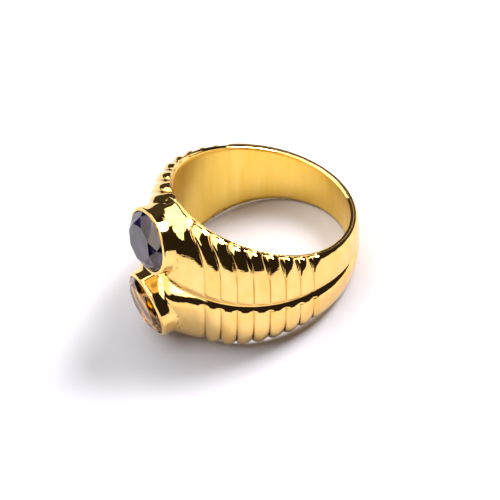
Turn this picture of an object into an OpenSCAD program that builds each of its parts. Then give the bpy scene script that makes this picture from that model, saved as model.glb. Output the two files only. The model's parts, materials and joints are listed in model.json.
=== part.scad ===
// A toi et moi ring lying on its side on a flat surface.
// Two ribbed gold bands lie side by side with a groove between them. Each ends at the head in an
// oval cup: the upper cup holds a blue stone, the lower one a yellow stone. The bands, the cups
// and the plain back are one soldered piece of metal.
// Sizes are in millimetres. Angles are in degrees round the finger, counted from the head.

/* [Finger hole] */
// Diameter of the finger hole
finger_d = 17.5; // [16:0.5:19]
// Angle by which the ring leans back as it lies at rest
rest_tilt = 15.5; // [8:0.1:18]

/* [Shank] */
// Width across both bands at the head, along the finger
head_w = 13.9; // [13:0.1:15]
// Width half way round
side_w = 8.8; // [8:0.1:10]
// Width at the back
back_w = 4.9; // [4:0.1:6]

/* [Ribs] */
// Number of ribs on each side of each band
rib_count = 7; // [5:1:9]
// Depth of the valleys between the ribs
rib_depth = 0.2; // [0.1:0.05:0.3]
// Depth of the valleys at the rims, where the ribs end like fingertips
tip_depth = 0.4; // [0.25:0.05:0.45]
// Angle of the last valley
last_valley = 93; // [90:1:100]
// Spacing of the valleys beside the groove
groove_pitch = 8.55; // [8:0.05:9]
// Spacing of the valleys at the rims, next to the last one
rim_pitch = 9; // [8.5:0.1:9.6]
// Growth of the rim spacing towards the head, from one rib to the next
rim_growth = 0.6; // [0.3:0.1:0.7]

/* [Cups] */
// Distance of the blue stone's cup rim from the middle of the finger hole
upper_reach = 12.65; // [12.4:0.05:13]
// Distance of the yellow stone's cup rim from the middle of the finger hole
lower_reach = 12.8; // [12.4:0.05:13]
// Distance of each cup's middle from the groove
cup_offset = 4.2; // [4.1:0.1:4.5]
// Angle by which the blue stone's cup turns away from the groove
upper_splay = 7; // [2:1:12]
// Angle by which the yellow stone's cup turns away from the groove
lower_splay = 10; // [2:1:12]
// Thickness of the cup's wall at its rim
rim_wall = 0.2; // [0.16:0.02:0.3]
// Thickness added to the opening at the cup's foot
foot_wall = 0.42; // [0.32:0.02:0.5]
// Depth of the cup's wall below its rim
cup_depth = 3; // [2.8:0.1:3.2]
// How far the lip leans in over the stone's edge
lip_over = 0.13; // [0.08:0.01:0.15]
// Drop of the blue stone's lip from its inner to its outer edge
upper_fall = 0.1; // [0.06:0.01:0.2]
// Drop of the yellow stone's lip from its inner to its outer edge
lower_fall = 0.17; // [0.06:0.01:0.2]

/* [Stones] */
// Length of each oval stone, round the finger
stone_l = 7; // [6.6:0.1:7.2]
// Width of each oval stone, along the finger
stone_w = 6.1; // [5.8:0.1:6.3]
// Height of the blue stone's crown over its girdle
blue_crown = 1.15; // [0.8:0.05:1.3]
// Height of the yellow stone's crown over its girdle
yellow_crown = 0.8; // [0.7:0.05:1]
// Width of the blue stone's flat table as a share of the stone
blue_table = 0.62; // [0.56:0.02:0.7]
// Width of the yellow stone's flat table as a share of the stone
yellow_table = 0.72; // [0.6:0.02:0.74]
// Depth of the cone under the girdle
pavilion_h = 2.3; // [2:0.1:2.4]
// Distance of the girdle below the cup's rim
girdle_drop = 0.35; // [0.3:0.05:0.45]
// Gap between a stone and its seat
seat_gap = 0.06; // [0.04:0.01:0.1]

/* [Hidden] */
bore_r = finger_d / 2;
// The section changes round the ring. Columns: angle from the head, thickness over the finger
// hole, thickness left at the rim, fullness of the curve, spread of the rim, depth of the groove,
// half width of the groove.
ANGLE = 0; THICK = 1; RIM = 2; FULL = 3; SPREAD = 4; DEPTH = 5; GAP = 6;
sections = [
    [0, 3.7, 0.5, 2.4, 0.55, 1.5, 2.4],
    [14, 3.65, 0.45, 2.4, 0.55, 1.15, 2.1],
    [27, 2.85, 0.4, 2.2, 0.5, 0.55, 1.4],
    [50, 2.4, 0.36, 2.4, 0.4, 0.45, 1.05],
    [75, 1.95, 0.34, 2.3, 0.2, 0.55, 0.95],
    [100, 1.5, 0.35, 2.4, 0, 0.68, 0.9],
    [130, 1.08, 0.45, 2.2, 0, 0.36, 0.6],
    [152, 0.93, 0.48, 2.1, 0, 0, 0.4],
    [180, 0.88, 0.5, 2.1, 0, 0, 0.4]];
// Rows of a section, as angles from the groove out to the rim
row_angles = [0, 3, 7, 12, 18, 25, 34, 44, 55, 66, 75, 83, 90];
// Places across one rib, from its valley at -1, and how sharply it drops into that valley
rib_places = [-1, -0.75, -0.3, 0.3, 0.75];
rib_sharpness = 3;
// Beside the groove each valley is this much nearer the head than at the rim
last_lean = 0.2;
// Valleys run straight from the groove and lean only near the rim, less so on the lower band
lean_late = 4;
lower_lean = 0.35;
// The plain lobe by each cup falls to the first valley late and steeply
lobe_sharpness = 8;
lobe_steps = 8;
// The plain back follows the last valley, which opens onto it in two steps
fade_places = [0.25, 0.6];
back_steps = 10;
// Valleys stop short of the groove, in shares of its half width
lip_start = 0.42;
lip_run = 0.12;
tip_from = 0.6; // and get deeper from this share of the way to the rim
edge_thick = 0.2; // left over the finger hole where the valleys reach the rim
core_depth = 1; // the bands reach this far inside the finger hole before it is bored
bore_facets = 96;
oval_facets = 40;
lip_round = 0.06;
lip_flat = 0.06;
seat_clear = 1;
culet_half = 0.12;

function row_of(a, i = 0) = i >= len(sections) - 2 || sections[i + 1][ANGLE] >= a ? i
    : row_of(a, i + 1);
function slope(i, c) = i <= 0 || i >= len(sections) - 1 ? 0
    : (sections[i + 1][c] - sections[i - 1][c]) / (sections[i + 1][ANGLE] - sections[i - 1][ANGLE]);
// A column of the table, read off a smooth curve through its rows
function at(a, c) = let (i = row_of(a), w = sections[i + 1][ANGLE] - sections[i][ANGLE],
        u = (a - sections[i][ANGLE]) / w, u2 = u * u, u3 = u2 * u)
    (2 * u3 - 3 * u2 + 1) * sections[i][c] + (u3 - 2 * u2 + u) * w * slope(i, c)
    + (3 * u2 - 2 * u3) * sections[i + 1][c] + (u3 - u2) * w * slope(i + 1, c);
// Half the width of the ring at angle a, through the three widths above
function half_w(a) = let (mean = (head_w + back_w) / 2)
    (mean + side_w) / 4 + (head_w - back_w) / 4 * cos(a) + (mean - side_w) / 4 * cos(2 * a);
function ease(v) = let (u = min(1, max(0, v))) u * u * (3 - 2 * u);
function between(p, q, u) = p + (q - p) * u;

// Angle of valley k beside the groove and at the rim
function valley_low(k) = last_valley - last_lean - (rib_count - k) * groove_pitch;
function valley_high(k) = let (j = rib_count - k) last_valley - j * rim_pitch - rim_growth / 2 * j * j;
// Stations round one side. Columns: angle beside the groove, angle at the rim, share of the
// valley's depth.
LOW = 0; HIGH = 1; DIP = 2;
function station(k, u, dip) = [between(valley_low(k), valley_low(k + 1), u),
    between(valley_high(k), valley_high(k + 1), u), dip];
plain = [valley_low(rib_count) + groove_pitch / 2, valley_high(rib_count) + rim_pitch / 2];
stations = concat(
    [for (i = [0:lobe_steps - 1]) let (u = i / lobe_steps)
        [u * valley_low(0), u * valley_high(0), pow(u, lobe_sharpness)]],
    [for (k = [0:rib_count - 1], s = rib_places) station(k, (s + 1) / 2, pow(abs(s), rib_sharpness))],
    [[valley_low(rib_count), valley_high(rib_count), 1]],
    [for (u = fade_places) [between(valley_low(rib_count), plain[LOW], u),
        between(valley_high(rib_count), plain[HIGH], u), pow(1 - u, rib_sharpness)]],
    [for (i = [0:back_steps]) let (u = i / back_steps)
        [between(plain[LOW], 180, u), between(plain[HIGH], 180, u), 0]]);
rows = concat([for (i = [len(row_angles) - 1:-1:1]) -row_angles[i]], row_angles);

// Height and radius of the outer face at angle a and row f, then the groove and the ribs in it
function reach(a) = half_w(a) + at(a, SPREAD);
function height(a, f) = reach(a) * sign(f) * pow(sin(abs(f)), 2 / at(a, FULL));
function dome(a, f) = bore_r + at(a, RIM) + (at(a, THICK) - at(a, RIM)) * pow(cos(f), 2 / at(a, FULL));
function groove(a, z) = at(a, DEPTH) * pow(max(0, 1 - abs(z) / at(a, GAP)), 2);
function valley_depth(a, z) = ease((abs(z) / at(a, GAP) - lip_start) / lip_run)
    * between(rib_depth, tip_depth, ease((abs(z) / reach(a) - tip_from) / (1 - tip_from)));
function turned(r, a, z, side) = [r * cos(a), side * r * sin(a), z];
function lean(f) = pow(abs(sin(f)), lean_late) * (f < 0 ? lower_lean : 1);
function outer(s, f, side) = let (a = between(s[LOW], s[HIGH], lean(f)), z = height(a, f),
        r = dome(a, f) - groove(a, z) - valley_depth(a, z) * s[DIP])
    turned(max(r, bore_r + edge_thick), a, z, side);
function inner(s, way, side) = let (a = between(s[LOW], s[HIGH], lean(way * 90)))
    turned(bore_r - core_depth, a, way * (half_w(a) - core_depth * at(a, SPREAD) / at(a, RIM)), side);
function section(s, side) = concat([for (f = rows) outer(s, f, side)],
    [inner(s, 1, side), inner(s, -1, side)]);
last = len(stations) - 1;
band_points = concat(
    [for (i = [0:last]) each section(stations[i], 1)],
    [for (i = [last - 1:-1:1]) each section(stations[i], -1)]);
loop_n = len(rows) + 2;
station_n = 2 * last;
band_faces = [for (i = [0:station_n - 1], j = [0:loop_n - 1])
    let (a = i * loop_n, b = ((i + 1) % station_n) * loop_n, k = (j + 1) % loop_n)
    each [[a + j, b + k, b + j], [a + j, a + k, b + k]]];

// An oval body about its own axis. Columns of its rows: height, half length, half width.
UP = 0; LONG = 1; SHORT = 2;
function oval_points(body) = [for (b = body, i = [0:oval_facets - 1]) let (t = 360 * i / oval_facets)
    [b[SHORT] * cos(t), b[LONG] * sin(t), b[UP]]];
function oval_faces(body) = let (n = oval_facets, top = (len(body) - 1) * n) concat(
    [[for (i = [0:n - 1]) i]], [[for (i = [n - 1:-1:0]) top + i]],
    [for (j = [0:len(body) - 2], i = [0:n - 1]) let (a = j * n, k = (i + 1) % n)
        each [[a + i, a + n + i, a + n + k], [a + i, a + n + k, a + k]]]);
module oval(body) polyhedron(oval_points(body), oval_faces(body));

half_l = stone_l / 2;
half_s = stone_w / 2;
function grown(z, g) = [z, half_l + g, half_s + g];
// The cup's wall leans in towards its rim, and the lip slopes up from there to the stone
function cup_rows(fall) = [
    grown(-cup_depth, foot_wall),
    grown(-fall - lip_round, rim_wall),
    grown(-fall, rim_wall - lip_round / 2),
    grown(0, lip_flat - lip_over)];
// The seat follows the stone with a gap round it and closes in over the girdle
seat_rows = [
    [-girdle_drop - pavilion_h - 2 * seat_gap, culet_half, culet_half],
    grown(-girdle_drop - seat_gap, seat_gap),
    grown(-girdle_drop + seat_gap, seat_gap),
    grown(-lip_round, seat_gap / 2 - lip_over),
    grown(0, -lip_over),
    grown(seat_clear, -lip_over)];

// A stone about its own axis: a table, eight kites with stars between them, girdle facets, a cone
kites = 8;
kite_turn = 180 / kites;
girdle_n = 48;
per_kite = girdle_n / kites;
girdle_t = 0.12;
star_share = 0.58; // the points of the stars, as a share of the way from table to girdle
lower_share = 0.3; // where the long facets under the girdle end
stone_up = girdle_t / 2 - girdle_drop;
lower_z = -girdle_t - pavilion_h * (1 - lower_share * cos(kite_turn));
function stone_ring(n, share, z, off) = [for (i = [0:n - 1]) let (t = 360 * i / n + off)
    [share * half_s * cos(t), share * half_l * sin(t), z]];
function stone_points(crown, table) = let (star = between(table, 1, star_share)) concat(
    stone_ring(kites, table, crown, 0),
    stone_ring(kites, star, crown * (1 - star * cos(kite_turn)) / (1 - table), kite_turn),
    stone_ring(girdle_n, 1, 0, 0),
    stone_ring(girdle_n, 1, -girdle_t, 0),
    stone_ring(kites, lower_share, lower_z, kite_turn),
    [[0, 0, -girdle_t - pavilion_h]]);
// First point of each ring after the table's: stars, girdle's top and foot, lower ring, tip
star_0 = kites;
girdle_0 = star_0 + kites;
foot_0 = girdle_0 + girdle_n;
lower_0 = foot_0 + girdle_n;
tip = lower_0 + kites;
stone_faces = concat(
    [[for (i = [kites - 1:-1:0]) i]],
    [for (i = [0:kites - 1]) let (next = (i + 1) % kites, s = star_0 + i, b = (i + kites - 1) % kites,
            g = girdle_0 + i * per_kite)
        each [[i, next, s], [i, s, g], [i, g, star_0 + b], [tip, lower_0 + b, lower_0 + i],
            [lower_0 + b, foot_0 + i * per_kite, lower_0 + i]]],
    [for (i = [0:kites - 1], k = [0:per_kite - 1]) let (a = i * per_kite + k, b = (a + 1) % girdle_n,
            top_a = girdle_0 + a, top_b = girdle_0 + b, foot_a = foot_0 + a, foot_b = foot_0 + b)
        each [[star_0 + i, top_b, top_a], [lower_0 + i, foot_a, foot_b], [top_a, top_b, foot_b],
            [top_a, foot_b, foot_a]]]);

// Lean of the whole ring, then the place of its lowest point and its middle
function leaned(p) = [p[0] * cos(rest_tilt) - p[2] * sin(rest_tilt), p[1],
    p[0] * sin(rest_tilt) + p[2] * cos(rest_tilt)];
// The two settings. Columns: side of the groove, reach, splay, fall of the lip, crown, table.
WAY = 0; REACH = 1; SPLAY = 2; FALL = 3; CROWN = 4; TABLE = 5;
settings = [
    [1, upper_reach, upper_splay, upper_fall, blue_crown, blue_table],
    [-1, lower_reach, lower_splay, lower_fall, yellow_crown, yellow_table]];
function on_head(p, c, up) = let (t = c[SPLAY], z = p[2] + up)
    [c[REACH] + z * cos(t) + p[0] * sin(t), p[1], c[WAY] * (cup_offset + z * sin(t) - p[0] * cos(t))];
placed = concat([for (p = band_points) leaned(p)],
    [for (c = settings, p = oval_points(cup_rows(c[FALL]))) leaned(on_head(p, c, 0))],
    [for (c = settings, p = stone_points(c[CROWN], c[TABLE])) leaned(on_head(p, c, stone_up))]);
lift = -min([for (p = placed) p[2]]);
middle = (min([for (p = placed) p[0]]) + max([for (p = placed) p[0]])) / 2;

module at_rest() translate([-middle, 0, lift]) rotate([0, -rest_tilt, 0]) children();
module on_cup(c) mirror([0, 0, c[WAY] < 0 ? 1 : 0])
    translate([c[REACH], 0, cup_offset]) rotate([0, 90 - c[SPLAY], 0]) children();

// The soldered metal: both bands, the plain back and the two cups
module ring_metal() color("gold") at_rest() difference() {
    union() {
        polyhedron(band_points, band_faces);
        for (c = settings) on_cup(c) oval(cup_rows(c[FALL]));
    }
    cylinder(h = 2 * head_w, r = bore_r, center = true, $fn = bore_facets);
    for (c = settings) on_cup(c) oval(seat_rows);
}
module stone(c) at_rest() on_cup(c) translate([0, 0, stone_up])
    polyhedron(stone_points(c[CROWN], c[TABLE]), stone_faces);
module blue_stone() color([0.12, 0.12, 0.35]) stone(settings[0]);
module yellow_stone() color([0.85, 0.6, 0.1]) stone(settings[1]);

ring_metal();
blue_stone();
yellow_stone();
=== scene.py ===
# A gold toi et moi ring with a blue and a yellow oval stone, lying on its side
import json
import math
import bpy
import numpy as np
from mathutils import Matrix, Vector


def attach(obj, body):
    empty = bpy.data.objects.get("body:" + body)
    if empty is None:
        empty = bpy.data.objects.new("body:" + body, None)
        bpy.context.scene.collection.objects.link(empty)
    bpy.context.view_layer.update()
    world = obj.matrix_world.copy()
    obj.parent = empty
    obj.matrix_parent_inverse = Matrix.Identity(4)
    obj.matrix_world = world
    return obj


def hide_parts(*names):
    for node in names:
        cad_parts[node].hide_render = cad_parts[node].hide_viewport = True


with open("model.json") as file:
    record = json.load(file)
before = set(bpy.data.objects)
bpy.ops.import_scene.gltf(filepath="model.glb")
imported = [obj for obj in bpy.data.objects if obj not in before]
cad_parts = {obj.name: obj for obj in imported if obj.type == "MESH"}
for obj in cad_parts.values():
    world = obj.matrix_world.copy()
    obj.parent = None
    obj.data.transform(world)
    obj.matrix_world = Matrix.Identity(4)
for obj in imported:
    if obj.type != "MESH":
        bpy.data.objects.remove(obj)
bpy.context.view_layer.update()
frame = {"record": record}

print("frame loaded")

# the bands, in millimetres, in the ring's own frame: X to the head, Z along the finger hole
ringShape = {
    "holeRadius": 8.75, "headWidth": 13.9, "sideWidth": 8.8, "backWidth": 4.9,
    "restTilt": 15.5,                       # degrees the ring leans back as it lies
    "ribCount": 7, "lastValleyGroove": 92.8, "lastValleyRim": 93.2,
    "groovePitch": 8.55, "rimPitch": 9.0, "rimGrowth": 0.6, "leanPower": 4.0,
    "lowerLean": 0.35,                      # the lower band's valleys lean less at the rim
    "ribDepth": 0.12, "ribPower": 2.6,      # rounding of each rib
    "tipDepth": 0.36, "tipPower": 1.6, "tipFrom": 0.6,   # ribs end like fingertips at the rim
    "scallop": 0.16, "scallopFrom": 0.8,    # the ribs' ends stand out past the valleys
    "creaseDepth": 0.12, "creaseWidth": 0.045, "creaseMost": 1.2,
    "creaseLeast": 0.5, "creaseSpan": (0.35, 0.85),     # creases are shallower beside the groove
    "creaseSplit": 0.17, "splitSpan": (0.5, 0.85),      # valleys part in two on the shoulder
    "fadeStart": 0.42, "fadeRun": 0.17,     # where the ribs begin, as shares of the groove's half
    "lipLine": 0.42, "lipDepth": 0.05, "lipWidth": 0.045, "lipEnds": (70, 95),   # line along the lip
    # painted shade along the valleys, widest at the ribs' ends, and over the lower rim's edge
    "shadeWidth": 0.05, "shadeSpread": 2.5, "shadeLeast": 0.35, "shadeFrom": 0.35, "edgeShade": 0.9,
    "edgeThick": 0.26, "edgeHigh": 0.12,    # plain edge left beyond the ends of the ribs
    "edgeEnds": (88, 108), "edgeSink": 0.8, "edgeGrow": 0.06,   # it runs into the plain back
    # over the rim: millimetres past the edge's thickness, and the share of its height
    "edgePoints": ((0.03, 0.1), (0.0, 0.3), (0.0, 0.6), (-0.02, 0.87), (-0.06, 1.0)),
    "holeCorner": 0.07, "cornerOut": 0.03, "cornerFall": 0.04, "cornerRise": 0.3,
    "cornerIn": 0.3, "cornerDown": 0.85,    # rounded corner between the rim and the finger hole
    "columns": ("angle", "thick", "rim", "full", "spread", "depth", "gap"),
    "sections": (
        (0, 3.7, 0.5, 2.4, 0.55, 1.5, 2.4),
        (14, 3.65, 0.45, 2.4, 0.55, 1.15, 2.1),
        (27, 2.85, 0.4, 2.2, 0.5, 0.55, 1.4),
        (50, 2.4, 0.36, 2.4, 0.4, 0.45, 1.05),
        (75, 1.95, 0.34, 2.3, 0.2, 0.55, 0.95),
        (100, 1.5, 0.35, 2.4, 0.0, 0.68, 0.9),
        (130, 1.08, 0.45, 2.2, 0.0, 0.36, 0.6),
        (152, 0.93, 0.48, 2.1, 0.0, 0.0, 0.4),
        (180, 0.88, 0.5, 2.1, 0.0, 0.0, 0.4)),
}
sectionTable = np.array(ringShape["sections"], float)

# how finely the bands are divided: start, end and number of steps
cutShape = {
    "near": (0, 0.02, 0.045, 0.07, 0.095, 0.12, 0.15, 0.19),   # shares of a rib, from its valley
    "rib": ((0.25, 0.75, 8),),
    "lobe": ((0, 0.72, 26), (0.76, 0.9, 8)), "lobeNear": 0.45,
    "back": ((0.026, 0.12, 10), (0.14, 1, 52)), "backNear": 0.1,
    "rows": ((0, 12, 22), (14, 72, 26), (74, 90, 14)),   # degrees from the groove to the rim
    "boreRows": 17,
}


def steps(name):
    return [np.linspace(*span) for span in cutShape[name]]


def sectionValue(angle, name):
    # a smooth curve through one column of the table
    x = sectionTable[:, 0]
    y = sectionTable[:, ringShape["columns"].index(name)]
    slope = np.zeros(len(x))
    slope[1:-1] = (y[2:] - y[:-2]) / (x[2:] - x[:-2])
    i = np.clip(np.searchsorted(x, angle) - 1, 0, len(x) - 2)
    step = x[i + 1] - x[i]
    u = (angle - x[i]) / step
    return ((2 * u**3 - 3 * u**2 + 1) * y[i] + (u**3 - 2 * u**2 + u) * step * slope[i]
            + (3 * u**2 - 2 * u**3) * y[i + 1] + (u**3 - u**2) * step * slope[i + 1])


def halfWidth(angle):
    head, side, back = (ringShape[k] for k in ("headWidth", "sideWidth", "backWidth"))
    mean, a = (head + back) / 2, np.radians(angle)
    return (mean + side) / 4 + (head - back) / 4 * np.cos(a) + (mean - side) / 4 * np.cos(2 * a)


def smooth(value, low, high):
    u = np.clip((value - low) / (high - low), 0, 1)
    return u * u * (3 - 2 * u)


def valleyAngles():
    # angle of each valley beside the groove and at the rim
    left = ringShape["ribCount"] - np.arange(ringShape["ribCount"] + 1)
    low = ringShape["lastValleyGroove"] - left * ringShape["groovePitch"]
    high = ringShape["lastValleyRim"] - left * ringShape["rimPitch"]
    return low, high - ringShape["rimGrowth"] / 2 * left**2


def stationAngles():
    # places round one side, close together in the valleys: angle at the groove, angle at the rim
    low, high = valleyAngles()
    near = np.array(cutShape["near"])
    rib = np.concatenate([near, *steps("rib"), 1 - near[:0:-1]])
    lobe = np.concatenate([*steps("lobe"), 1 - near[:0:-1] * cutShape["lobeNear"]])
    back = np.concatenate([near * cutShape["backNear"], *steps("back")])

    def between(lowFrom, lowTo, highFrom, highTo, shares):
        return [(lowFrom + (lowTo - lowFrom) * u, highFrom + (highTo - highFrom) * u) for u in shares]

    places = between(0, low[0], 0, high[0], lobe)
    for k in range(ringShape["ribCount"]):
        places += between(low[k], low[k + 1], high[k], high[k + 1], rib)
    places += between(low[-1], 180, high[-1], 180, back)
    return np.array(places)


def edgeHeight(angle):
    return ringShape["edgeHigh"] * (1 - ringShape["edgeSink"] * smooth(angle, *ringShape["edgeEnds"]))


def ribDip(angle, height, share, radius, low, high, lean):
    # depth of the valleys at one place: rounded ribs, and fine creases that part near the rim
    valleys = low[:, None, None] + (high - low)[:, None, None] * lean[None]
    gapTo = (angle[None] - valleys) * np.pi / 180 * radius[None]
    nearest = np.abs(gapTo).argmin(axis=0)
    toValley = np.take_along_axis(gapTo, nearest[None], 0)[0]
    split = ringShape["creaseSplit"] * smooth(share, *ringShape["splitSpan"]) * (height > 0)
    crease = sum(np.exp(-((toValley + way * split) / ringShape["creaseWidth"])**2) for way in (-1, 1))
    crease = np.minimum(crease, ringShape["creaseMost"])
    least = ringShape["creaseLeast"]
    crease = crease * (least + (1 - least) * smooth(share, *ringShape["creaseSpan"]))
    pitch = np.abs(valleys[1:] - valleys[:-1]).mean(axis=0) * np.pi / 180 * radius
    halfRib = np.clip(1 - np.abs(toValley) / (pitch / 2), 0, 1)
    tip = smooth(share, ringShape["tipFrom"], 1)
    power = ringShape["ribPower"] + (ringShape["tipPower"] - ringShape["ribPower"]) * tip
    depth = ringShape["ribDepth"] + (ringShape["tipDepth"] - ringShape["ribDepth"]) * tip
    return depth * halfRib**power + ringShape["creaseDepth"] * crease, halfRib**power, toValley


def plainRadius(angle, height, arch):
    # radius of the bands without their ribs; arch is 1 at the middle and 0 at the rim
    rim, thick, gap = (sectionValue(angle, k) for k in ("rim", "thick", "gap"))
    q = np.clip(1 - np.abs(height) / gap, 0, 1)
    return ringShape["holeRadius"] + rim + (thick - rim) * arch - sectionValue(angle, "depth") * q * q


def bandRadius(angle, height):
    # the same at any height, with the distance left to the rim
    reach, full = halfWidth(angle) + sectionValue(angle, "spread"), sectionValue(angle, "full")
    share = np.clip(np.abs(height) / reach, 0, 1)
    return plainRadius(angle, height, (1 - share**full)**(1 / full)), reach - np.abs(height)


def outerFace(places, rows):
    # points of the outer face on one side of the ring, and how much painted shade each gets
    low, high = valleyAngles()
    turn = np.radians(rows)[None, :]
    lean = np.abs(np.sin(turn))**ringShape["leanPower"] * np.where(turn < 0, ringShape["lowerLean"], 1)
    angle = places[:, :1] + (places[:, 1:] - places[:, :1]) * lean
    fullness = 2 / sectionValue(angle, "full")
    reach = halfWidth(angle) + sectionValue(angle, "spread") - edgeHeight(angle)
    height = reach * np.sign(turn) * np.abs(np.sin(turn))**fullness
    gap = sectionValue(angle, "gap")
    radius = plainRadius(angle, height, np.clip(np.cos(turn), 0, 1)**fullness)
    share = np.abs(height) / reach
    fadeStart = ringShape["fadeStart"]
    fade = smooth(np.abs(height) / gap, fadeStart, fadeStart + ringShape["fadeRun"])
    allLean = np.broadcast_to(lean, angle.shape)
    dip, notch, toValley = ribDip(angle, height, share, radius, low, high, allLean)
    radius = radius - fade * dip
    fromLip = (np.abs(height) - ringShape["lipLine"] * gap) / ringShape["lipWidth"]
    lined = (1 - smooth(angle, *ringShape["lipEnds"])) * (height > 0)
    radius = radius - ringShape["lipDepth"] * lined * np.exp(-fromLip**2)
    nearEnd = smooth(share, ringShape["scallopFrom"], 1)
    # painted shade lies along the valleys, widest where the ribs end
    outward = np.where(turn < 0, smooth(share, ringShape["shadeFrom"], 1), nearEnd)
    shadeWide = ringShape["shadeWidth"] * (1 + ringShape["shadeSpread"] * outward)
    least = ringShape["shadeLeast"]
    paintedShade = np.exp(-(toValley / shadeWide)**2) * fade * (least + (1 - least) * outward)
    height = height - np.sign(turn) * notch * ringShape["scallop"] * nearEnd
    a = np.radians(angle)
    return np.stack([radius * np.cos(a), radius * np.sin(a), height], -1), paintedShade


# from the ring's own frame to the way it lies
mount = frame["record"]["mounts"][0]
tilt = math.radians(ringShape["restTilt"])
holeMiddle = Vector(mount["pos_m"])
restMatrix = Matrix.Translation(holeMiddle) @ Matrix.Rotation(-tilt, 4, "Y")
mm = 0.001


def meshPiece(name, points, faces, materials, faceSlots=None, smoothShade=True, local=None):
    # points in millimetres, in the ring's frame or in the local one given
    mesh = bpy.data.meshes.new(name)
    move = restMatrix @ Matrix.Scale(mm, 4) @ (local or Matrix())
    m = np.array(move)
    placed = np.asarray(points, float) @ m[:3, :3].T + m[:3, 3]
    mesh.from_pydata(placed.tolist(), [], faces)
    for material in materials:
        mesh.materials.append(material)
    if faceSlots is not None:
        mesh.polygons.foreach_set("material_index", np.asarray(faceSlots, dtype=np.int32))
    mesh.polygons.foreach_set("use_smooth", np.full(len(mesh.polygons), smoothShade))
    mesh.update()
    mesh.validate()
    piece = bpy.data.objects.new(name, mesh)
    bpy.context.scene.collection.objects.link(piece)
    return piece


def addPaintedShade(piece, amounts):
    # how much painted shade each point gets, 0 to 1
    layer = piece.data.attributes.new("paintedShade", "FLOAT", "POINT")
    layer.data.foreach_set("value", np.asarray(amounts, dtype=np.float32).ravel())


def loopFaces(rings, count, closed=True):
    # quads between rows of points, each row a closed loop
    faces = []
    for i in range(rings if closed else rings - 1):
        a, b = i * count, ((i + 1) % rings) * count
        for j in range(count):
            k = (j + 1) % count
            faces.append((a + j, a + k, b + k, b + j))
    return faces


def nodeGroup(name, inputs, outputs):
    group = bpy.data.node_groups.new(name, "ShaderNodeTree")
    for label, value in inputs:
        socket = group.interface.new_socket(label, in_out="INPUT", socket_type="NodeSocketFloat")
        socket.default_value = value
    for label in outputs:
        group.interface.new_socket(label, in_out="OUTPUT", socket_type="NodeSocketFloat")
    return group, group.nodes.new("NodeGroupInput"), group.nodes.new("NodeGroupOutput")


def mathNode(tree, operation, *values, clamp=False):
    # each value is a number or a socket to link
    node = tree.nodes.new("ShaderNodeMath")
    node.operation, node.use_clamp = operation, clamp
    for i, value in enumerate(values):
        if isinstance(value, (int, float)):
            node.inputs[i].default_value = value
        else:
            tree.links.new(value, node.inputs[i])
    return node.outputs[0]


def noiseNode(tree, vector, scale, detail, roughness=0.55):
    node = tree.nodes.new("ShaderNodeTexNoise")
    node.inputs["Scale"].default_value = scale
    node.inputs["Detail"].default_value = detail
    node.inputs["Roughness"].default_value = roughness
    tree.links.new(vector, node.inputs["Vector"])
    return node.outputs["Fac"]


def mixColors(tree, factor, first, second):
    node = tree.nodes.new("ShaderNodeMix")
    node.data_type = "RGBA"
    tree.links.new(factor, node.inputs["Factor"])
    for socket, value in ((node.inputs["A"], first), (node.inputs["B"], second)):
        if isinstance(value, tuple):
            socket.default_value = (*value, 1.0)
        else:
            tree.links.new(value, socket)
    return node.outputs["Result"]


def stretchedCoordinates(tree, scale):
    # object coordinates turned to the ring's own axes, then stretched
    place = tree.nodes.new("ShaderNodeTexCoord")
    turn = tree.nodes.new("ShaderNodeVectorRotate")
    turn.rotation_type = "Y_AXIS"
    turn.inputs["Angle"].default_value = tilt
    tree.links.new(place.outputs["Object"], turn.inputs["Vector"])
    stretch = tree.nodes.new("ShaderNodeVectorMath")
    stretch.operation = "MULTIPLY"
    stretch.inputs[1].default_value = scale
    tree.links.new(turn.outputs["Vector"], stretch.inputs[0])
    return stretch.outputs["Vector"]


# hairlines, a soft haze from wear and a slow drift of tone, on the metal and the stones;
# each noise has its stretch along the ring's axes, how fine it is, and its detail
wearShape = {
    "spots": ((1, 1, 1), 650.0, 2.0), "hairAcross": ((1, 1, 7), 900.0, 2.0),
    "hairAlong": ((6, 1, 1), 700.0, 2.0), "drift": ((1, 1, 0.6), 800.0, 1.0),
    "spotPower": 2.0, "hazeShare": 0.25, "driftHeight": 2.0,
}


def makePolishWear():
    group, entry, leave = nodeGroup("polishWear", (("Roughness", 0.05), ("Wear", 0.5), ("Grain", 1.0)),
                                    ("Roughness", "Height", "Tone"))
    noises = []
    for name in ("spots", "hairAcross", "hairAlong", "drift"):
        stretch, scale, detail = wearShape[name]
        noises.append(noiseNode(group, stretchedCoordinates(group, stretch), scale, detail))
    spots, hairAcross, hairAlong, drift = noises
    worn = mathNode(group, "POWER", spots, wearShape["spotPower"])
    haze = mathNode(group, "MULTIPLY", worn, entry.outputs["Wear"])
    haze = mathNode(group, "MULTIPLY", haze, wearShape["hazeShare"])
    rough = mathNode(group, "ADD", entry.outputs["Roughness"], haze)
    group.links.new(rough, leave.inputs["Roughness"])
    hair = mathNode(group, "ADD", hairAcross, hairAlong)
    height = mathNode(group, "ADD", mathNode(group, "MULTIPLY", hair, entry.outputs["Grain"]),
                      mathNode(group, "MULTIPLY", drift, wearShape["driftHeight"]))
    group.links.new(height, leave.inputs["Height"])
    group.links.new(drift, leave.inputs["Tone"])
    return group


polishWear = makePolishWear()


def newMaterial(name):
    material = bpy.data.materials.new(name)
    material.use_nodes = True
    tree = material.node_tree
    return material, tree, tree.nodes["Principled BSDF"]


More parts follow.
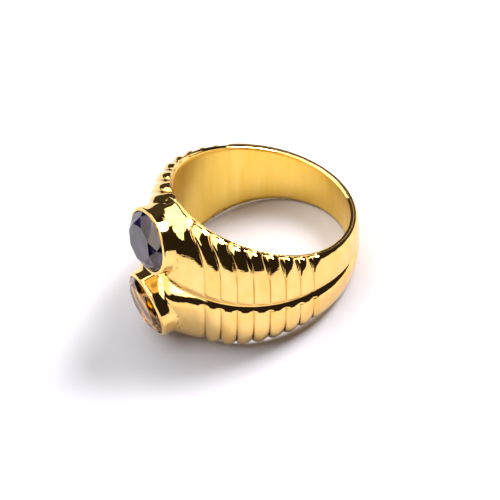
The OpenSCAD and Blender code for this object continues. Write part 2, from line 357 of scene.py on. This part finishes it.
def addPolishWear(tree, shader, values, bumpDistance):
    wear = tree.nodes.new("ShaderNodeGroup")
    wear.node_tree = polishWear
    for label, value in values.items():
        wear.inputs[label].default_value = value
    bump = tree.nodes.new("ShaderNodeBump")
    bump.inputs["Distance"].default_value = bumpDistance
    bump.inputs["Strength"].default_value = 1.0
    tree.links.new(wear.outputs["Roughness"], shader.inputs["Roughness"])
    tree.links.new(wear.outputs["Height"], bump.inputs["Height"])
    tree.links.new(bump.outputs["Normal"], shader.inputs["Normal"])
    return wear


# polished gold outside, satin gold inside the finger hole
goldLook = {
    "polished": (1.0, 0.72, 0.29), "polishedDeep": (0.94, 0.545, 0.12),
    # the last colour here is painted shade, laid into the valleys and over the lower rim's edge
    "satin": (1.0, 0.78, 0.23), "satinDeep": (0.91, 0.56, 0.05), "paintedShade": (0.16, 0.07, 0.018),
    "polishedWear": {"Roughness": 0.035, "Wear": 0.25, "Grain": 0.32},
    "satinWear": {"Roughness": 0.3, "Wear": 0.25, "Grain": 0.3},
    "bumpDepth": 0.00002, "satinBump": 0.0000004,    # metres
    # noise that breaks up the painted shade, then the satin's streaks
    "shadeStretch": (1, 1, 0.5), "shadeGrain": 1500.0, "shadeGain": 2.1,
    "streakStretch": (1, 1, 0.12), "streakGrain": 900.0,
}


def makePolishedGold():
    material, tree, shader = newMaterial("polishedGold")
    shader.inputs["Metallic"].default_value = 1.0
    wear = addPolishWear(tree, shader, goldLook["polishedWear"], goldLook["bumpDepth"])
    unshaded = mixColors(tree, wear.outputs["Tone"], goldLook["polished"], goldLook["polishedDeep"])
    # painted shade from the points' attribute, broken up by noise, darkens the base colour
    layer = tree.nodes.new("ShaderNodeAttribute")
    layer.attribute_name = "paintedShade"
    place = stretchedCoordinates(tree, goldLook["shadeStretch"])
    patchy = mathNode(tree, "MULTIPLY", noiseNode(tree, place, goldLook["shadeGrain"], 3.0, 0.6),
                      goldLook["shadeGain"])
    amount = mathNode(tree, "MULTIPLY", patchy, layer.outputs["Fac"], clamp=True)
    tree.links.new(mixColors(tree, amount, unshaded, goldLook["paintedShade"]), shader.inputs["Base Color"])
    return material


def makeSatinGold():
    material, tree, shader = newMaterial("satinGold")
    shader.inputs["Metallic"].default_value = 1.0
    addPolishWear(tree, shader, goldLook["satinWear"], goldLook["satinBump"])
    place = stretchedCoordinates(tree, goldLook["streakStretch"])
    streaks = noiseNode(tree, place, goldLook["streakGrain"], 3.0, 0.6)
    color = mixColors(tree, streaks, goldLook["satin"], goldLook["satinDeep"])
    tree.links.new(color, shader.inputs["Base Color"])
    return material


def makeBands(materials):
    # both bands and the back, as one closed skin
    places = stationAngles()
    half = np.concatenate(steps("rows"))
    rows = np.concatenate([-half[:0:-1], half])
    right, paintedShade = outerFace(places, rows)
    hole, corner = ringShape["holeRadius"], ringShape["holeCorner"]
    boreRows = np.linspace(1, -1, cutShape["boreRows"])

    def rimLoops(angle):
        # from the ends of the ribs over the rim to the corner of the finger hole: radius and height
        inner, high = halfWidth(angle), edgeHeight(angle)
        reach = inner + sectionValue(angle, "spread")
        thick = ringShape["edgeThick"] + ringShape["edgeGrow"] * smooth(angle, *ringShape["edgeEnds"])
        loops = [(hole + thick + past, reach - high + high * share)
                 for past, share in ringShape["edgePoints"]]
        cornerHeight = inner - ringShape["cornerFall"] + (reach - inner) * ringShape["cornerRise"]
        loops.append((hole + corner + ringShape["cornerOut"] + 0 * angle, cornerHeight))
        loops.append((hole + corner * ringShape["cornerIn"] + 0 * angle,
                      inner - corner * ringShape["cornerDown"]))
        return loops

    def insideLoop(side):
        # over the upper rim, down the finger hole and out over the lower rim
        top = places[:, 1]
        bottom = places[:, 0] + (places[:, 1] - places[:, 0]) * ringShape["lowerLean"]
        loops = [(r, top, z) for r, z in rimLoops(top)]
        for v in boreRows:
            angle = bottom + (top - bottom) * (v + 1) / 2
            loops.append((hole + 0 * angle, angle, (halfWidth(angle) - corner) * v))
        loops += [(r, bottom, -z) for r, z in rimLoops(bottom)[::-1]]
        turned = [(r, np.radians(angle), z) for r, angle, z in loops]
        points = [np.stack([r * np.cos(a), side * r * np.sin(a), z], -1) for r, a, z in turned]
        return np.stack(points, 1)

    rightSide = np.concatenate([right, insideLoop(1)], axis=1)
    left = right * np.array([1, -1, 1])
    leftSide = np.concatenate([left, insideLoop(-1)], axis=1)
    loop = np.concatenate([rightSide, leftSide[-2:0:-1]], axis=0)
    rings, count = loop.shape[:2]
    faces = loopFaces(rings, count)
    edgeCount = len(ringShape["edgePoints"]) + 2
    boreFrom = len(rows) + edgeCount
    column = np.tile(np.arange(count), rings)
    faceSlots = ((column >= boreFrom) & (column < boreFrom + len(boreRows) - 1)).astype(int)
    # painted shade over the edge of the lower rim, none inside the finger hole
    inside = np.zeros((len(places), count - len(rows)))
    inside[:, -edgeCount:] = ringShape["edgeShade"]
    paintedShade = np.concatenate([paintedShade, inside], axis=1)
    paintedShade = np.concatenate([paintedShade, paintedShade[-2:0:-1]], axis=0)
    print("bands:", rings, "x", count)
    piece = meshPiece("ribbedBands", loop.reshape(-1, 3), faces, materials, faceSlots)
    addPaintedShade(piece, paintedShade)
    return piece


# the cup of each stone, in millimetres from the middle of its mouth
cupShape = {
    "stoneLength": 7.0, "stoneWidth": 6.1, "girdleDrop": 0.35, "seatGap": 0.06, "seatDepth": 2.4,
    "depth": 3.0, "rimWall": 0.2, "footWall": 0.8, "flare": 2.3,   # the wall spreads to its foot
    "lipOver": 0.15, "lipRound": 0.06,                   # the lip slopes in over the stone's edge
    "lipBend": ((-0.4, 0.15), (0.2, 0.9)),               # its outer corner, as shares of lipRound
    "lipEdge": ((0.0, 0.02), (0.02, 0.0), (0.06, 0.0)),  # its inner edge: down, and back from it
    "lipUnder": 0.12,
    "slopeShares": (0.2, 0.9, 6), "seatShares": (0.15, 0.4, 0.7, 0.93),
    "wallRows": 16, "segments": 144,
}
upperSet = {"way": 1, "reach": 12.65, "offset": 4.2, "splay": 7.0, "lipDrop": 0.1,
            "crown": 1.15, "table": 0.62}
lowerSet = {"way": -1, "reach": 12.8, "offset": 4.2, "splay": 10.0, "lipDrop": 0.17,
            "crown": 0.8, "table": 0.72}


def cupMatrix(own):
    # the cup's own axis points out of its mouth
    matrix = Matrix.Translation((own["reach"], 0, own["offset"]))
    matrix = matrix @ Matrix.Rotation(math.radians(90 - own["splay"]), 4, "Y")
    return matrix if own["way"] > 0 else Matrix.Diagonal((1, 1, -1, 1)) @ matrix


def ovalLoop(height, grow):
    t = np.linspace(0, 2 * np.pi, cupShape["segments"], endpoint=False)
    return np.stack([(cupShape["stoneWidth"] / 2 + grow) * np.cos(t),
                     (cupShape["stoneLength"] / 2 + grow) * np.sin(t), np.full(len(t), height)], -1)


def makeCup(name, own, materials):
    wall, foot, gap, bend = (cupShape[k] for k in ("rimWall", "footWall", "seatGap", "lipRound"))
    drop, over, depth = (cupShape[k] for k in ("girdleDrop", "lipOver", "depth"))
    fall = own["lipDrop"]
    profile = [(-depth + (depth - fall - bend) * u, wall + (foot - wall) * (1 - u)**cupShape["flare"])
               for u in np.linspace(0, 1, cupShape["wallRows"])]
    profile += [(-fall + bend * up, wall - bend * back) for up, back in cupShape["lipBend"]]
    profile += [(-fall + fall * u, wall - (wall + over) * u)
                for u in np.linspace(*cupShape["slopeShares"])]
    profile += [(-down, -over + back) for down, back in cupShape["lipEdge"]]
    profile += [(-cupShape["lipUnder"], -over / 2), (-drop + gap, gap), (-drop - gap, gap)]
    narrow = min(cupShape["stoneWidth"], cupShape["stoneLength"]) / 2
    profile += [(-drop - gap - cupShape["seatDepth"] * u, gap - (narrow + gap) * u)
                for u in cupShape["seatShares"]]
    points = np.concatenate([ovalLoop(z, g) for z, g in profile])
    count = cupShape["segments"]
    faces = loopFaces(len(profile), count, closed=False)
    faces = [f[::-1] for f in faces]
    faces.append(tuple(range(count)))
    faces.append(tuple(range(len(points) - 1, len(points) - 1 - count, -1)))
    if own["way"] < 0:
        faces = [f[::-1] for f in faces]
    return meshPiece(name, points, faces, materials, local=cupMatrix(own))


# the solder fillet where a cup meets its band
seamShape = {
    "size": 0.4, "rows": 12, "sink": 0.012, "pits": 0.07, "seed": 7,
    "start": 0.05, "wallSteps": 240,        # where it is looked for down the cup's wall
    "rimFade": (0.1, 0.9),                  # it grows thin where the band's rim is near
}


def toPolar(points):
    angle = np.degrees(np.arctan2(np.abs(points[..., 1]), points[..., 0]))
    return angle, np.hypot(points[..., 0], points[..., 1])


def makeSeam(name, own, materials):
    # down the cup's wall to where the band's face is, then a hollow curve out onto that face
    wallThick, foot, depth = (cupShape[k] for k in ("rimWall", "footWall", "depth"))
    heights = np.linspace(-seamShape["start"], -depth, seamShape["wallSteps"])
    share = np.clip((-heights - own["lipDrop"]) / (depth - own["lipDrop"]), 0, 1)
    grow = wallThick + (foot - wallThick) * share**cupShape["flare"]
    matrix = np.array(cupMatrix(own))

    def place(points):
        return points @ matrix[:3, :3].T + matrix[:3, 3]

    wall = place(np.stack([ovalLoop(z, g) for z, g in zip(heights, grow)]))
    angle, radius = toPolar(wall)
    face, toRim = bandRadius(angle, wall[..., 2])
    buried = (radius < face).argmax(axis=0)
    column = np.arange(wall.shape[1])
    size = seamShape["size"] * smooth(toRim[buried, column], *seamShape["rimFade"])
    corner = wall[buried, column]
    climb = np.round(size / (heights[0] - heights[1])).astype(int)
    start = wall[np.clip(buried - climb, 0, None), column]
    outward = corner - wall[buried, column].mean(axis=0)
    axis = matrix[:3, 2]
    outward -= np.outer(outward @ axis, axis)
    outward /= np.linalg.norm(outward, axis=1, keepdims=True)
    end = corner + outward * size[:, None]
    angle, radius = toPolar(end)
    face, toRim = bandRadius(angle, end[:, 2])
    end[:, :2] *= ((face - seamShape["sink"]) / radius)[:, None]
    start -= outward * seamShape["sink"]
    u = np.linspace(0, 1, seamShape["rows"])[:, None, None]
    points = (1 - u)**2 * start + 2 * u * (1 - u) * corner + u**2 * end
    count = wall.shape[1]
    faces = loopFaces(seamShape["rows"], count, closed=False)
    if own["way"] > 0:
        faces = [f[::-1] for f in faces]
    piece = meshPiece(name, points.reshape(-1, 3), faces, materials)
    # small pits left by the solder, drawn as dark spots of painted shade
    random = np.random.default_rng(seamShape["seed"])
    pits = random.random((seamShape["rows"], count)) < seamShape["pits"]
    addPaintedShade(piece, pits * np.sin(np.pi * np.linspace(0, 1, seamShape["rows"]))[:, None])
    return piece


# faceted oval stones: a table, kites and stars above the girdle and a cone of facets below it
stoneShape = {
    "pavilion": 2.3, "girdle": 0.12, "star": 0.58, "lower": 0.3,
    "kites": 8, "girdlePoints": 48,
}


def makeStone(name, own, material):
    s = stoneShape
    n, m = s["kites"], s["girdlePoints"]
    up = s["girdle"] / 2 - cupShape["girdleDrop"]
    turn = math.pi / n

    def ring(count, share, z, offset=0.0):
        t = np.arange(count) * 2 * np.pi / count + offset
        return np.stack([share * cupShape["stoneWidth"] / 2 * np.cos(t),
                         share * cupShape["stoneLength"] / 2 * np.sin(t), np.full(count, z + up)], -1)

    star = own["table"] + (1 - own["table"]) * s["star"]
    starHeight = own["crown"] * (1 - star * math.cos(turn)) / (1 - own["table"])
    lowHeight = -s["girdle"] - s["pavilion"] * (1 - s["lower"] * math.cos(turn))
    points = np.concatenate([
        ring(n, own["table"], own["crown"]), ring(n, star, starHeight, turn), ring(m, 1, 0),
        ring(m, 1, -s["girdle"]), ring(n, s["lower"], lowHeight, turn),
        [[0, 0, up - s["girdle"] - s["pavilion"]]]])
    starRow, girdle, foot, low, per = n, 2 * n, 2 * n + m, 2 * n + 2 * m, m // n
    tip = low + n
    faces = [tuple(range(n))]
    for i in range(n):
        after, before = (i + 1) % n, (i - 1) % n
        g = girdle + i * per
        faces += [(i, starRow + i, after), (i, g, starRow + i), (i, starRow + before, g),
                  (tip, low + i, low + before), (low + before, low + i, foot + i * per)]
        for k in range(per):
            a, b = i * per + k, (i * per + k + 1) % m
            faces += [(starRow + i, girdle + a, girdle + b), (low + i, foot + b, foot + a),
                      (girdle + a, foot + a, foot + b, girdle + b)]
    if own["way"] < 0:
        faces = [f[::-1] for f in faces]
    return meshPiece(name, points, faces, [material], smoothShade=False, local=cupMatrix(own))


# "surface" tints what the facets reflect, "depthTint" what comes through them
stoneLooks = {
    "blue": {"tint": (0.22, 0.24, 0.6), "depthTint": (0.05, 0.07, 0.8), "density": 700.0, "ior": 2.0,
             "surface": (0.74, 0.62, 0.53), "haze": 0.0},
    "yellow": {"tint": (1.0, 0.93, 0.35), "depthTint": (1.0, 0.93, 0.06), "density": 420.0, "ior": 2.0,
               "surface": (1.0, 0.66, 0.42), "haze": 0.08},
}
stoneFinish = {"Wear": 0.12, "Grain": 0.3}
stoneBump = 0.0000008                       # metres


def makeStoneMaterial(name, look):
    material, tree, shader = newMaterial(name)
    shader.inputs["Transmission Weight"].default_value = 1.0
    shader.inputs["IOR"].default_value = look["ior"]
    shader.inputs["Base Color"].default_value = (*look["tint"], 1.0)
    shader.inputs["Specular Tint"].default_value = (*look["surface"], 1.0)
    addPolishWear(tree, shader, {"Roughness": look["haze"], **stoneFinish}, stoneBump)
    absorb = tree.nodes.new("ShaderNodeVolumeAbsorption")
    absorb.inputs["Color"].default_value = (*look["depthTint"], 1.0)
    absorb.inputs["Density"].default_value = look["density"]
    tree.links.new(absorb.outputs["Volume"], tree.nodes["Material Output"].inputs["Volume"])
    return material


polishedGold, satinGold = makePolishedGold(), makeSatinGold()
bands = makeBands([polishedGold, satinGold])
upperCup = makeCup("upperCup", upperSet, [polishedGold])
lowerCup = makeCup("lowerCup", lowerSet, [polishedGold])
upperSeam = makeSeam("upperSeam", upperSet, [polishedGold])
lowerSeam = makeSeam("lowerSeam", lowerSet, [polishedGold])
blueStone = makeStone("blueStone", upperSet, makeStoneMaterial("blueGem", stoneLooks["blue"]))
yellowStone = makeStone("yellowStone", lowerSet, makeStoneMaterial("yellowGem", stoneLooks["yellow"]))
metal = (bands, upperCup, lowerCup, upperSeam, lowerSeam)
for pieces, node, slotName in ((metal, "ring_metal", "gold"),
                               ((blueStone,), "blue_stone", "blue_stone"),
                               ((yellowStone,), "yellow_stone", "yellow_stone")):
    for piece in pieces:
        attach(piece, "root")
        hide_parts(node)
print("ring and stones made")

floorLook = {"size": 40.0, "color": (0.525, 0.51, 0.55), "roughness": 0.7, "gloss": 0.1}


def makeFloor():
    half = floorLook["size"] / 2
    mesh = bpy.data.meshes.new("floor")
    corners = [(-half, -half, 0), (half, -half, 0), (half, half, 0), (-half, half, 0)]
    mesh.from_pydata(corners, [], [(0, 1, 2, 3)])
    material, tree, shader = newMaterial("paleFloor")
    shader.inputs["Base Color"].default_value = (*floorLook["color"], 1.0)
    shader.inputs["Roughness"].default_value = floorLook["roughness"]
    shader.inputs["Specular IOR Level"].default_value = floorLook["gloss"]
    mesh.materials.append(material)
    floor = bpy.data.objects.new("floor", mesh)
    bpy.context.scene.collection.objects.link(floor)


cameraLook = {
    "azimuth": 152.05, "elevation": 42.42, "roll": 0.58,   # seen in the ring's own frame
    "distance": 0.541, "lens": 394.6, "sensor": 36.0, "shiftX": -0.023, "shiftY": -0.0334,
    "near": 0.01, "far": 100.0,
}


def makeCamera():
    a, e, r = (math.radians(cameraLook[k]) for k in ("azimuth", "elevation", "roll"))
    back = Vector((math.sin(a) * math.cos(e), -math.cos(a) * math.cos(e), math.sin(e)))
    right = Vector((math.cos(a), math.sin(a), 0))
    up = back.cross(right)
    right, up = right * math.cos(r) + up * math.sin(r), up * math.cos(r) - right * math.sin(r)
    turn = restMatrix.to_3x3() @ Matrix((right, up, back)).transposed()
    data = bpy.data.cameras.new("camera")
    data.lens, data.sensor_width = cameraLook["lens"], cameraLook["sensor"]
    data.shift_x, data.shift_y = cameraLook["shiftX"], cameraLook["shiftY"]
    data.clip_start, data.clip_end = cameraLook["near"], cameraLook["far"]
    camera = bpy.data.objects.new("camera", data)
    spot = holeMiddle + turn.col[2] * cameraLook["distance"]
    camera.matrix_world = Matrix.Translation(spot) @ turn.to_4x4()
    bpy.context.scene.collection.objects.link(camera)
    bpy.context.scene.camera = camera


studioLook = {
    "ambient": (0.022, 0.018, 0.017),
    "skyline": 1.2, "skylineHeight": 0.025, "skylineSoftness": 0.025 / 3,   # over the floor's far edge
    # soft panels: the middle as degrees to the right of the camera and above the floor,
    # then the edges across and up from it, as slopes, their softness and the light they give
    "columns": ("compass", "height", "turn", "left", "right", "bottom", "top", "softness", "light"),
    "panels": (
        (0, 90, 25, -1.6, 0.8, -0.2, 1.1, 0.07, 3.5),
        (103, 45, 0, -0.19, 0.19, -0.17, 0.18, 0.05, 52.0),
        (-114, 35, 0, -0.4, 0.4, -0.3, 0.33, 0.06, 1.7),
        (180, 22, 0, -1.0, 1.0, -0.3, 0.4, 0.12, 0.04)),
}


def panelDirection(tree, view, axis):
    dot = tree.nodes.new("ShaderNodeVectorMath")
    dot.operation = "DOT_PRODUCT"
    dot.inputs[1].default_value = axis
    tree.links.new(view, dot.inputs[0])
    return dot.outputs["Value"]


def softEdge(tree, value, edge, softness, rising):
    # 0 on one side of the edge and 1 on the other
    node = tree.nodes.new("ShaderNodeMapRange")
    node.interpolation_type = "SMOOTHSTEP"
    node.inputs["From Min"].default_value = edge - softness
    node.inputs["From Max"].default_value = edge + softness
    node.inputs["To Min"].default_value = 0 if rising else 1
    node.inputs["To Max"].default_value = 1 if rising else 0
    tree.links.new(value, node.inputs["Value"])
    return node.outputs["Result"]


def addPanel(tree, view, panel, toCamera, toRight):
    look = dict(zip(studioLook["columns"], panel))
    a, h = math.radians(look["compass"]), math.radians(look["height"])
    flat = toCamera * math.cos(a) + toRight * math.sin(a)
    across = toRight * math.cos(a) - toCamera * math.sin(a)
    outward = flat * math.cos(h) + Vector((0, 0, math.sin(h)))
    upward = Vector((0, 0, math.cos(h))) - flat * math.sin(h)
    ahead = mathNode(tree, "MAXIMUM", panelDirection(tree, view, outward), 0.001)   # never behind
    turn = math.radians(look["turn"])
    wide = across * math.cos(turn) + upward * math.sin(turn)
    high = upward * math.cos(turn) - across * math.sin(turn)
    x = mathNode(tree, "DIVIDE", panelDirection(tree, view, wide), ahead)
    y = mathNode(tree, "DIVIDE", panelDirection(tree, view, high), ahead)
    light = look["light"]
    for value, edge, rising in ((x, "left", True), (x, "right", False),
                                (y, "bottom", True), (y, "top", False)):
        inside = softEdge(tree, value, look[edge], look["softness"], rising)
        light = mathNode(tree, "MULTIPLY", inside, light)
    return light


def makeStudio():
    world = bpy.data.worlds.new("studio")
    bpy.context.scene.world = world
    world.use_nodes = True
    tree = world.node_tree
    tree.nodes.clear()
    view = tree.nodes.new("ShaderNodeTexCoord").outputs["Generated"]
    toCamera = bpy.context.scene.camera.matrix_world.col[2].to_3d()
    toCamera.z = 0
    toCamera.normalize()
    toRight = Vector((-toCamera.y, toCamera.x, 0))
    total = 0.0
    for panel in studioLook["panels"]:
        total = mathNode(tree, "ADD", addPanel(tree, view, panel, toCamera, toRight), total)
    skyline = softEdge(tree, panelDirection(tree, view, (0, 0, 1)), studioLook["skylineHeight"],
                       studioLook["skylineSoftness"], False)
    total = mathNode(tree, "ADD", mathNode(tree, "MULTIPLY", skyline, studioLook["skyline"]), total)
    lit = tree.nodes.new("ShaderNodeBackground")
    tree.links.new(total, lit.inputs["Strength"])
    ambient = tree.nodes.new("ShaderNodeBackground")
    ambient.inputs["Color"].default_value = (*studioLook["ambient"], 1.0)
    both = tree.nodes.new("ShaderNodeAddShader")
    tree.links.new(lit.outputs[0], both.inputs[0])
    tree.links.new(ambient.outputs[0], both.inputs[1])
    out = tree.nodes.new("ShaderNodeOutputWorld")
    tree.links.new(both.outputs[0], out.inputs["Surface"])


makeFloor()
makeCamera()
makeStudio()
bpy.context.scene.view_settings.view_transform = "Standard"
print("floor, light and camera made")
